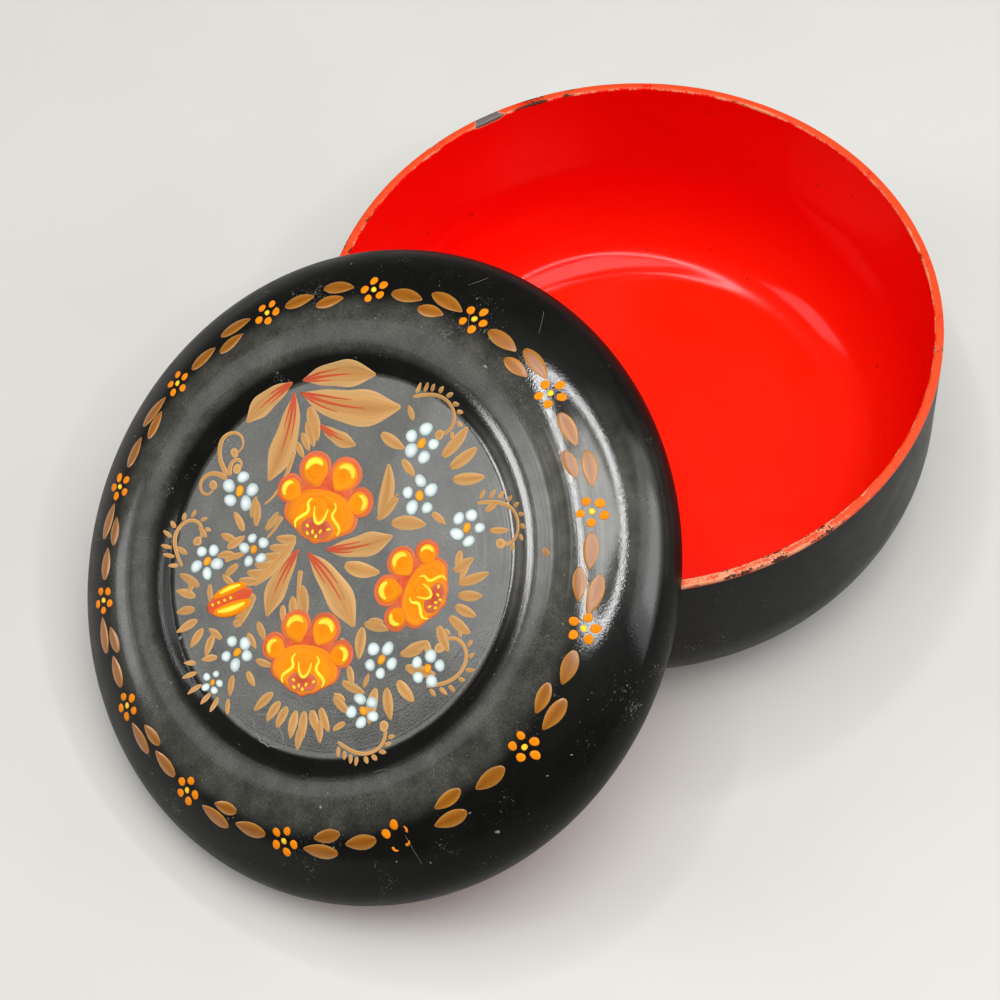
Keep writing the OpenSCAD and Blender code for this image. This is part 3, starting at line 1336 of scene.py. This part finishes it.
@dataclass
class Bouquet:
    """Folk bouquet painted in the dish: bell blossoms, dot flowers, veined leaves and tendrils."""

    lid: Lid
    blossoms: tuple[Sprig, ...] = (
        Sprig(4.0, 8.0, 28), Sprig(-16.0, -6.8, 34, 0.93), Sprig(6.4, -15.2, 104, 0.86),
    )
    buds: tuple[Sprig, ...] = (Sprig(-21.2, 14.2, -32),)
    dot_flowers: tuple[Sprig, ...] = (
        Sprig(-15.2, 19.4, 10), Sprig(-2.8, 22.6, 30, 1.12), Sprig(-8.2, 13.8, 50, 0.94),
        Sprig(-22.4, 4.6, 0), Sprig(23.6, 1.2, 20, 1.08), Sprig(17.2, -4.2, 40, 1.08),
        Sprig(18.6, -14.2, 15), Sprig(-6.2, -16.6, 5), Sprig(-14.2, -19.6, 65, 0.95),
        Sprig(-2.0, -23.8, 30, 0.98), Sprig(-29.0, 4.8, 20, 0.68),
    )
    big_leaves: tuple[Sprig, ...] = (
        Sprig(15.8, 25.8, 204, 16.0, -30), Sprig(16.2, 25.0, -60, 20.0, 30),
        Sprig(17.8, 25.8, -49, 14.2, -18), Sprig(16.8, 26.8, 166, 11.2, 20),
        Sprig(-2.6, 7.2, 194, 12.8, 26), Sprig(-2.2, 5.8, 257, 16.0, -22),
        Sprig(0.2, 3.4, -41, 12.8, 24), Sprig(14.5, 18.2, -78, 8.2, 20),
    )
    frills: tuple[Sprig, ...] = (Sprig(-1.6, 8.8, 174, 11.5, -14), Sprig(-13.4, 8.2, 190, 5.6, 10))
    small_leaves: tuple[Sprig, ...] = (
        Sprig(9.8, -1.0, 32, 9.6, 34), Sprig(20.4, 8.4, -82, 5.6, 14), Sprig(10.6, -3.0, -54, 6.8, -16),
        Sprig(9.8, -1.2, -4, 5.0, -20), Sprig(-4.4, -10.4, 216, 5.6, 14), Sprig(-4.2, -10.2, -62, 5.0, -14),
        Sprig(15.6, 22.0, 238, 6.6, -12), Sprig(13.6, 20.6, 240, 5.0), Sprig(11.6, 20.0, 246, 3.8),
        Sprig(9.8, 19.8, 250, 3.4), Sprig(-11.2, 3.4, 224, 3.4), Sprig(-9.0, 3.0, 226, 4.6),
        Sprig(-6.6, 3.0, 232, 5.8), Sprig(0.6, -0.8, -62, 7.2, 24), Sprig(-2.2, -1.6, 250, 5.0),
        Sprig(-3.6, -18.4, -42, 4.4), Sprig(19.6, 2.4, -100, 4.0), Sprig(16.6, -7.6, -88, 3.4),
        Sprig(15.4, -15.6, 212, 3.6), Sprig(14.6, -18.2, 190, 3.0),
        Sprig(-18.8, 5.4, 254, 3.4), Sprig(-16.2, 5.2, 246, 3.8), Sprig(-12.4, 22.2, 84, 2.6),
        Sprig(-16.8, 23.2, 100, 2.8), Sprig(-11.4, 18.0, -20, 4.2), Sprig(-4.8, 17.6, 30, 4.0),
        Sprig(25.4, 4.8, 62, 3.0),
        Sprig(-10.6, -12.6, 236, 3.6), Sprig(-1.6, -13.0, 120, 3.0), Sprig(1.2, -20.4, 236, 3.4),
        Sprig(-11.6, -17.2, 20, 2.6), Sprig(-23.4, -12.6, 214, 4.0), Sprig(-20.4, -14.4, 226, 4.0),
    )
    fans: tuple[LeafFan, ...] = (
        LeafFan(-16.0, -6.8, 6.8, 166, 236, 6, 5.0), LeafFan(-16.0, -6.8, 7.0, 248, 292, 3, 4.6),
        LeafFan(6.4, -15.2, 5.8, 250, 342, 6, 5.4), LeafFan(19.0, -3.4, 5.0, -44, 0, 3, 6.4),
        LeafFan(-18.4, 12.4, 5.2, 100, 204, 6, 4.6), LeafFan(-8.2, 13.8, 3.6, 8, 172, 6, 4.2),
        LeafFan(-22.4, 4.6, 3.7, 98, 140, 2, 3.6), LeafFan(-22.4, 4.6, 3.6, 214, 290, 3, 3.8),
        LeafFan(-6.4, -17.0, 3.9, 206, 330, 5, 5.8), LeafFan(-15.2, 19.4, 3.7, 186, 320, 4, 3.4),
        LeafFan(18.6, -14.2, 3.8, 304, 350, 2, 3.4), LeafFan(-24.2, 5.0, 6.3, 134, 224, 6, 2.7),
        LeafFan(-14.2, -19.6, 3.6, 104, 160, 2, 3.2),
    )
    tendrils: tuple[Sprig, ...] = (
        Sprig(-19.0, 22.4, 72, 15.0, -270), Sprig(28.0, 7.8, -42, 14.0, -190),
        Sprig(22.4, -12.8, -44, 14.6, -205), Sprig(-4.4, -25.2, -46, 16.4, 250),
        Sprig(-20.8, -19.2, -82, 12.0, 150),
    )
    curls: tuple[Sprig, ...] = (
        Sprig(-2.8, 25.8, 100, 11.0, 320), Sprig(-2.4, 26.2, 76, 14.5, -310),
        Sprig(-2.2, 25.8, 50, 6.0, -290), Sprig(8.8, 19.2, 206, 11.0, -48),
        Sprig(-13.0, 17.0, -36, 5.4, 30), Sprig(-0.8, 13.4, 190, 4.6, -20),
        Sprig(9.6, -1.0, 8, 5.6, -24), Sprig(-5.0, 4.6, 214, 7.0, 18), Sprig(-8.0, -9.0, 196, 5.0, 20),
    )

    def layer(self, name: str, finish: BrushPaint, lift: float, body: float, seed: int) -> PaintLayer:
        """Set out one paint of the bouquet.

        Args:
            name: what it paints.
            finish: the paint.
            lift: how far it lies above the lid, on the paint under it.
            body: its thickness.
            seed: where its random draws start.

        Returns:
            The empty layer.
        """
        return PaintLayer(f"bouquet_{name}", finish, self.lid, lift, body, chance=random.Random(seed))

    def __post_init__(self) -> None:
        """Set out the paints, from the lowest layer to the highest."""
        self.leaves = self.layer("leaves", TAN, 0.0, 0.07, 11)
        self.veins = self.layer("veins", SALMON, 0.07, 0.03, 12)
        self.halos = self.layer("halos", VERMILION, 0.04, 0.05, 13)
        self.petals = self.layer("petals", ORANGE, 0.08, 0.09, 14)
        self.mouths = self.layer("mouths", SALMON, 0.16, 0.03, 18)
        self.tongues = self.layer("tongues", ORANGE, 0.17, 0.05, 19)
        self.lights = self.layer("lights", YELLOW, 0.19, 0.06, 15)
        self.dots = self.layer("white_dots", WHITE, 0.02, 0.13, 16)
        self.eyes = self.layer("eyes", AMBER, 0.02, 0.14, 17)

    def put(self, sprig: Sprig, forward: float, left: float) -> Point:
        """Give the plan point at a place in a motif's own frame.

        Args:
            sprig: the motif's place, direction and size.
            forward: distance along its direction.
            left: distance to the left of it.

        Returns:
            The plan point.
        """
        turn = math.radians(sprig.turn)
        return (
            sprig.x + sprig.size * (forward * math.cos(turn) - left * math.sin(turn)),
            sprig.y + sprig.size * (forward * math.sin(turn) + left * math.cos(turn)),
        )

    def blossom(self, sprig: Sprig) -> None:
        """Paint a bell blossom: four crown petals over a scalloped bell with an open mouth.

        Args:
            sprig: its place, the direction of its crown, and its size.
        """
        size, turn = sprig.size, sprig.turn
        crown = (4.9, 4.8, 5.4, 6.3, 5.4, 4.4, 4.2)
        drop = (1.0, 1.0, 1.03, 1.0, 0.97, 1.0, 1.2)
        bell = (4.0, 4.1, 4.4, 4.9, 5.5, 6.1, 6.6, 6.5, 5.5, 4.9, 4.8, 4.6, 4.9)
        mouth = (2.2, 1.8, 2.4, 3.1, 2.8, 2.1, 2.0)
        tongue = (2.3, 1.8, 1.5, 1.4, 1.3, 1.4, 1.6)
        self.halos.patch(self.put(sprig, 2.6, 0), lobed(crown, size, turn))
        self.halos.patch(self.put(sprig, 0.1, 0), lobed(bell, 1.08 * size, turn, 72))
        for angle, far, radius in ((23, 7.2, 2.45), (-23, 7.2, 2.45), (67, 7.0, 1.95), (-67, 7.0, 1.95)):
            petal = polar(AXIS, far, math.radians(angle))
            lean = turn + angle
            rim = lobed(drop, (radius + 0.62) * size, lean)
            self.halos.patch(self.put(sprig, petal[0] + 0.2, petal[1] * 1.03), rim)
            self.petals.patch(self.put(sprig, *petal), lobed(drop, radius * size, lean))
            light = [
                self.put(sprig, *polar(petal, 0.64 * radius, math.radians(angle + 84 - 14 * i)))
                for i in range(13)
            ]
            self.lights.stroke(light, line_bud, 0.29 * radius * size)
        self.petals.patch(self.put(sprig, 0, 0), lobed(bell, size, turn, 72))
        self.mouths.patch(self.put(sprig, -2.3, 0), lobed(mouth, size, turn))
        self.tongues.patch(self.put(sprig, 0, 0), lobed(tongue, size, turn))
        steps = [i / 16 for i in range(17)]
        for side in (1, -1):
            fold = [
                self.put(sprig, 2.4 - 5.8 * t, side * (1.7 + 2.6 * t + 0.5 * math.sin(10.5 * t)))
                for t in steps
            ]
            self.lights.stroke(fold, line_bud, 0.4 * size)
        loop = [
            self.put(sprig, 1.4 - 3.1 * math.sin(math.pi * t), 1.3 * math.cos(math.pi * t))
            for t in steps
        ]
        self.lights.stroke(loop, line_bud, 0.36 * size)
        seeds = ((-2.4, 1.8), (-3.2, 0.6), (-2.9, -0.8), (-3.8, -0.2), (-2.3, -2.2), (-3.6, 1.5))
        for forward, left in seeds:
            self.lights.blob(self.put(sprig, forward, left), 0.27 * size, 1.5, turn + 30 * left)

    def bud(self, sprig: Sprig) -> None:
        """Paint a bud that has just split.

        Args:
            sprig: its base, direction and size.
        """
        self.halos.stroke(bow(sprig.base, sprig.turn, 9.6, 12), line_bud, 2.5)
        self.petals.stroke(bow(self.put(sprig, 1.0, -1.0), sprig.turn - 2, 8.0, 26), line_bud, 1.3)
        self.petals.stroke(bow(self.put(sprig, 1.6, 1.2), sprig.turn + 2, 7.2, -20), line_bud, 0.95)
        self.lights.stroke(bow(self.put(sprig, 1.8, -1.1), sprig.turn - 2, 6.2, 26), line_bud, 0.6)
        self.lights.stroke(bow(self.put(sprig, 3.0, 1.5), sprig.turn + 2, 4.8, -20), line_bud, 0.45)
        for forward in (1.6, 2.8, 4.0, 5.2):
            self.lights.blob(self.put(sprig, forward, 0.2), 0.28)

    def dot_flower(self, sprig: Sprig) -> None:
        """Paint a flower of five white dots round an eye.

        Args:
            sprig: its middle, turn and size.
        """
        chance = self.dots.chance
        for k in range(5):
            way = math.radians(sprig.turn + 72 * k + chance.uniform(-6, 6))
            dot = polar(sprig.base, 2.1 * sprig.size * chance.uniform(0.92, 1.08), way)
            size = 0.96 * sprig.size * chance.uniform(0.92, 1.1)
            self.dots.blob(dot, size, chance.uniform(1.0, 1.28), chance.uniform(0, 180))
        self.eyes.blob(sprig.base, 0.68 * sprig.size, 1.25, sprig.turn)

    def big_leaf(self, sprig: Sprig) -> None:
        """Paint a large veined leaf.

        Args:
            sprig: its base, direction, length and bend.
        """
        count = 20
        spine = bow(sprig.base, sprig.turn, sprig.size, sprig.bend, count)
        half = 0.165 * sprig.size
        self.leaves.stroke(spine, frond_width, half)
        for share, side, width in ((0.72, 0.0, 0.4), (0.58, 0.4, 0.3), (0.52, -0.4, 0.3)):
            vein = []
            for i, point in enumerate(spine[:int(len(spine) * share)]):
                ahead = Vector(spine[i + 1]) - Vector(spine[max(0, i - 1)])
                across = left_of(ahead) * side * half * frond_width(i / count)
                vein.append((point[0] + across.x, point[1] + across.y))
            self.veins.stroke(vein, comma_width, width)

    def small_leaf(self, sprig: Sprig) -> None:
        """Paint a small plain leaf.

        Args:
            sprig: its base, direction, length and bend.
        """
        spine = bow(sprig.base, sprig.turn, sprig.size, sprig.bend, 12)
        self.leaves.stroke(spine, almond_width, min(0.19 * sprig.size, 1.4))

    def fan(self, fan: LeafFan) -> None:
        """Paint small leaves round part of a circle.

        Args:
            fan: the circle, the part of it, and the leaves' count and length.
        """
        chance = self.leaves.chance
        for k in range(fan.count):
            angle = fan.start + (fan.end - fan.start) * k / max(1, fan.count - 1)
            start = polar((fan.x, fan.y), fan.radius, math.radians(angle + chance.uniform(-3, 3)))
            length = fan.length * chance.uniform(0.8, 1.12)
            lean = angle + chance.uniform(-6, 6)
            shape = chance.choice((leaf_width, almond_width))
            self.leaves.stroke(bow(start, lean, length, 14, 12), shape, 0.175 * fan.length)

    def frill(self, sprig: Sprig) -> None:
        """Paint a frilled leaf: short lobes along one side of a rib.

        Args:
            sprig: its base, direction, length and bend.
        """
        spine = bow(sprig.base, sprig.turn, sprig.size, sprig.bend, 12)
        self.leaves.stroke(spine, line_bud, 0.11 * sprig.size)
        for point in spine[0:11:2]:
            lobe = bow(point, sprig.turn - 46, 0.36 * sprig.size, -40, 10)
            self.leaves.stroke(lobe, leaf_width, 0.85)

    def small_curl(self, sprig: Sprig) -> None:
        """Paint a bare curled stem, with a bulb at its end if it curls far.

        Args:
            sprig: its base, first direction, length and swing.
        """
        spine = curl(sprig.base, sprig.turn, sprig.size, sprig.bend)
        self.leaves.stroke(spine, lambda t: line_width(t) * (1.5 - t), 0.36)
        if abs(sprig.bend) > 180:
            self.leaves.blob(spine[-1], 0.75, 1.2, sprig.turn)

    def tendril(self, sprig: Sprig) -> None:
        """Paint a curled tendril with leaflets on its outer side.

        Args:
            sprig: its base, first direction, length and swing.
        """
        spine = curl(sprig.base, sprig.turn, sprig.size, sprig.bend)
        self.leaves.stroke(spine, line_width, 0.34)
        self.leaves.blob(spine[-1], 0.85)
        outer = -1 if sprig.bend > 0 else 1
        chance = self.leaves.chance
        for i in range(1, 27, 3):
            ahead = Vector(spine[i + 1]) - Vector(spine[i])
            heading = math.degrees(math.atan2(ahead.y, ahead.x)) + outer * chance.uniform(42, 66)
            start = polar(spine[i], 0.55, math.radians(heading))
            length = (1.9 - 0.02 * i) * chance.uniform(0.85, 1.12)
            self.leaves.stroke(bow(start, heading, length, 0, 8), leaf_width, 0.4)

    def build(self) -> None:
        """Paint the bouquet."""
        for paint, motifs in (
            (self.fan, self.fans), (self.tendril, self.tendrils), (self.small_curl, self.curls),
            (self.frill, self.frills), (self.small_leaf, self.small_leaves),
            (self.big_leaf, self.big_leaves), (self.blossom, self.blossoms), (self.bud, self.buds),
            (self.dot_flower, self.dot_flowers),
        ):
            for motif in motifs:
                paint(motif)
        for layer in (
            self.leaves, self.veins, self.halos, self.petals, self.mouths, self.tongues,
            self.lights, self.dots, self.eyes,
        ):
            layer.build()


@dataclass
class LidMarks:
    """Years of small marks on the lid: a stray dab, a dried spot, dust flecks and scratches."""

    lid: Lid
    flecks: int = 110
    scratches: int = 9
    marked_radius: float = 51.0

    def outline(self, layer: PaintLayer, centre: Point, wide: float, high: float, half: float) -> None:
        """Draw the broken edge of a dried spot.

        Args:
            layer: the mark's paint.
            centre: plan point of its middle.
            wide: half its width.
            high: half its height.
            half: half the line's width.
        """
        edge = []
        for k in range(61):
            turn = math.tau * k / 60
            x, y = math.cos(turn), math.sin(turn)
            wander = 1 + 0.22 * noise.noise(Vector((centre[0] + 2 * x, 2 * y, 3.3)))
            wander += 0.12 * noise.noise(Vector((centre[1] + 6 * x, 6 * y, 7.1)))
            edge.append((centre[0] + wide * wander * x, centre[1] + high * wander * y))
        for first, last in ((0, 13), (15, 24), (25, 43), (46, 60)):
            layer.stroke(edge[first:last + 1], line_width, half)

    def build(self) -> None:
        """Lay the marks."""
        chance = random.Random(33)
        stray = PaintLayer("stray_paint_dab", OCHRE, self.lid, body=0.1, chance=random.Random(34))
        stray.blob((24.6, -28.1), 0.55, 1.35, 100, 0.16)
        stray.build()
        marks = PaintLayer("lid_dust_and_marks", DRIED_MARK, self.lid, 0.0, 0.02, chance=random.Random(35))
        self.outline(marks, (-27.8, -8.4), 2.0, 3.3, 0.08)
        spots = ((39.8, -0.4, 0.28), (-29.5, -25.0, 0.24), (-13.5, -48.5, 0.26), (-27.6, 14.6, 0.26))
        for x, y, size in spots:
            marks.blob((x, y), size, 1.3, chance.uniform(0, 180), 0.2)
        for _ in range(self.flecks):
            way = chance.uniform(0, math.tau)
            spot = polar(AXIS, math.sqrt(chance.uniform(0.02, 1)) * self.marked_radius, way)
            size = chance.uniform(0.05, 0.13)
            marks.blob(spot, size, chance.uniform(1, 2.2), chance.uniform(0, 180), 0.2)
        for _ in range(self.scratches):
            way = chance.uniform(0, math.tau)
            start = polar(AXIS, chance.uniform(34, 50), way)
            turn, length = chance.uniform(0, 360), chance.uniform(1.5, 6)
            spine = bow(start, turn, length, chance.uniform(-30, 30), 14)
            if max(math.hypot(*point) for point in spine) < self.marked_radius + 1:
                marks.stroke(spine, line_bud, chance.uniform(0.014, 0.03))
        marks.build()


@dataclass(frozen=True)
class Lamp:
    """A soft rectangular lamp that faces the box.

    Toward is its direction from the box. Distances and sizes are in millimetres, power is in watts,
    and spin is its turn about its own direction in degrees.
    """

    title: str
    toward: tuple[float, float, float]
    away: float
    size: Point
    power: float
    spin: float = 0.0


@dataclass
class Studio:
    """Pale floor, soft lamps and the camera."""

    eye: tuple[float, float, float] = (-145.16, -160.11, 342.29)
    yaw: float = -35.4
    elevation: float = 58.71
    roll: float = -7.88
    lens: float = 79.2
    sensor: float = 36.0
    floor_radius: float = 3000.0
    floor_sides: int = 96
    sky: str = "#dcdcda"
    sky_strength: float = 0.12
    target: tuple[float, float, float] = (-30.0, 0.0, 25.0)
    ring_centre: tuple[float, float, float] = (25.0, -155.0, 700.0)
    ring_size: Point = (375.0, 265.0)
    ring_width: float = 28.0
    ring_count: int = 24
    ring_power: float = 4.8
    lamps: tuple[Lamp, ...] = (
        Lamp("left_softbox", (-0.55, 0.485, 0.685), 700, (300, 300), 0.8),
        Lamp("left_window", (-0.73, 0.62, 0.28), 700, (190, 150), 0.8),
        Lamp("right_window", (0.635, -0.657, 0.42), 700, (680, 420), 1.0),
        Lamp("right_softbox", (0.62, -0.68, 0.42), 690, (400, 210), 0.5),
        Lamp("top_panel", (0.06, -0.2, 0.97), 720, (360, 380), 1.9, -20),
    )

    def camera(self) -> None:
        """Set the camera at the photograph's place and tilt."""
        yaw, rise, roll = (math.radians(a) for a in (self.yaw, self.elevation, self.roll))
        back = Vector((math.sin(yaw) * math.cos(rise), -math.cos(yaw) * math.cos(rise), math.sin(rise)))
        level = Vector((math.cos(yaw), math.sin(yaw), 0))
        above = back.cross(level)
        right = math.cos(roll) * level + math.sin(roll) * above
        up = -math.sin(roll) * level + math.cos(roll) * above
        lens = bpy.data.cameras.new("camera")
        lens.lens = self.lens
        lens.sensor_fit = "HORIZONTAL"
        lens.sensor_width = self.sensor
        lens.clip_start = 0.01
        holder = bpy.data.objects.new("camera", lens)
        bpy.context.scene.collection.objects.link(holder)
        turn = Matrix((right, up, back)).transposed().to_4x4()
        holder.matrix_world = Matrix.Translation(Vector(self.eye) * MM) @ turn
        bpy.context.scene.camera = holder

    def area(self, title: str, size: Point, power: float, placed: Matrix) -> None:
        """Hang a rectangular area lamp.

        Args:
            title: the lamp's name.
            size: its width and height in millimetres.
            power: its power in watts.
            placed: its place and turn, in metres.
        """
        light = bpy.data.lights.new(title, "AREA")
        light.shape = "RECTANGLE"
        light.size = size[0] * MM
        light.size_y = size[1] * MM
        light.energy = power
        holder = bpy.data.objects.new(title, light)
        bpy.context.scene.collection.objects.link(holder)
        holder.matrix_world = placed

    def hang(self, lamp: Lamp) -> None:
        """Hang a lamp so that it faces the box.

        Args:
            lamp: its direction, distance, size and power.
        """
        way = Vector(lamp.toward).normalized()
        turn = way.to_track_quat("Z", "Y").to_matrix().to_4x4()
        turn = Matrix.Rotation(math.radians(lamp.spin), 4, way) @ turn
        spot = Matrix.Translation((Vector(self.target) + way * lamp.away) * MM)
        self.area(lamp.title, lamp.size, lamp.power, spot @ turn)

    def ring_lamp(self) -> None:
        """Hang an oval ring of short lamps overhead, which lights the box evenly from above."""
        middle = Vector(self.ring_centre)
        long_way = Vector((0.34, 0.94, 0)).normalized() * self.ring_size[0]
        short_way = Vector((0.94, -0.34, 0)).normalized() * self.ring_size[1]
        places = []
        for k in range(self.ring_count + 1):
            turn = math.tau * k / self.ring_count
            places.append(middle + long_way * math.cos(turn) + short_way * math.sin(turn))
        around = sum((after - place).length for place, after in zip(places, places[1:]))
        for number, (place, after) in enumerate(zip(places, places[1:])):
            length = (after - place).length
            spot = (place + after) / 2
            along = (after - place).normalized()
            outward = spot - Vector(self.target)
            outward = (outward - along * outward.dot(along)).normalized()
            turn = Matrix((along.cross(outward), along, outward)).transposed().to_4x4()
            self.area(
                f"ring_lamp_{number:02d}", (self.ring_width, length), self.ring_power * length / around,
                Matrix.Translation(spot * MM) @ turn,
            )

    def build(self) -> None:
        """Make the floor, the lamps, the world and the camera."""
        self.camera()
        ring = [Vector((0, 0, 0))]
        for k in range(self.floor_sides):
            turn = math.tau * k / self.floor_sides
            ring.append(Vector((math.cos(turn), math.sin(turn), 0)) * self.floor_radius * MM)
        faces = [(0, 1 + k, 1 + (k + 1) % self.floor_sides) for k in range(self.floor_sides)]
        floor = mesh_object("studio_floor", ring, faces)
        floor.data.materials.append(PAPER.material())
        for lamp in self.lamps:
            self.hang(lamp)
        self.ring_lamp()
        world = bpy.data.worlds.new("studio")
        world.use_nodes = True
        plug(world.node_tree, world.node_tree.nodes["Background"], {
            "Color": linear(self.sky), "Strength": self.sky_strength,
        })
        bpy.context.scene.world = world
        bpy.context.scene.view_settings.view_transform = "Standard"


def main() -> None:
    """Build the scene in order."""
    logging.basicConfig(level=logging.INFO, format="%(message)s")
    Studio().build()
    bowl = Bowl()
    bowl.build()
    lid = Lid(bowl)
    lid.build()
    Garland(lid).build()
    Bouquet(lid).build()
    LidMarks(lid).build()


if __name__ == "__main__":
    main()
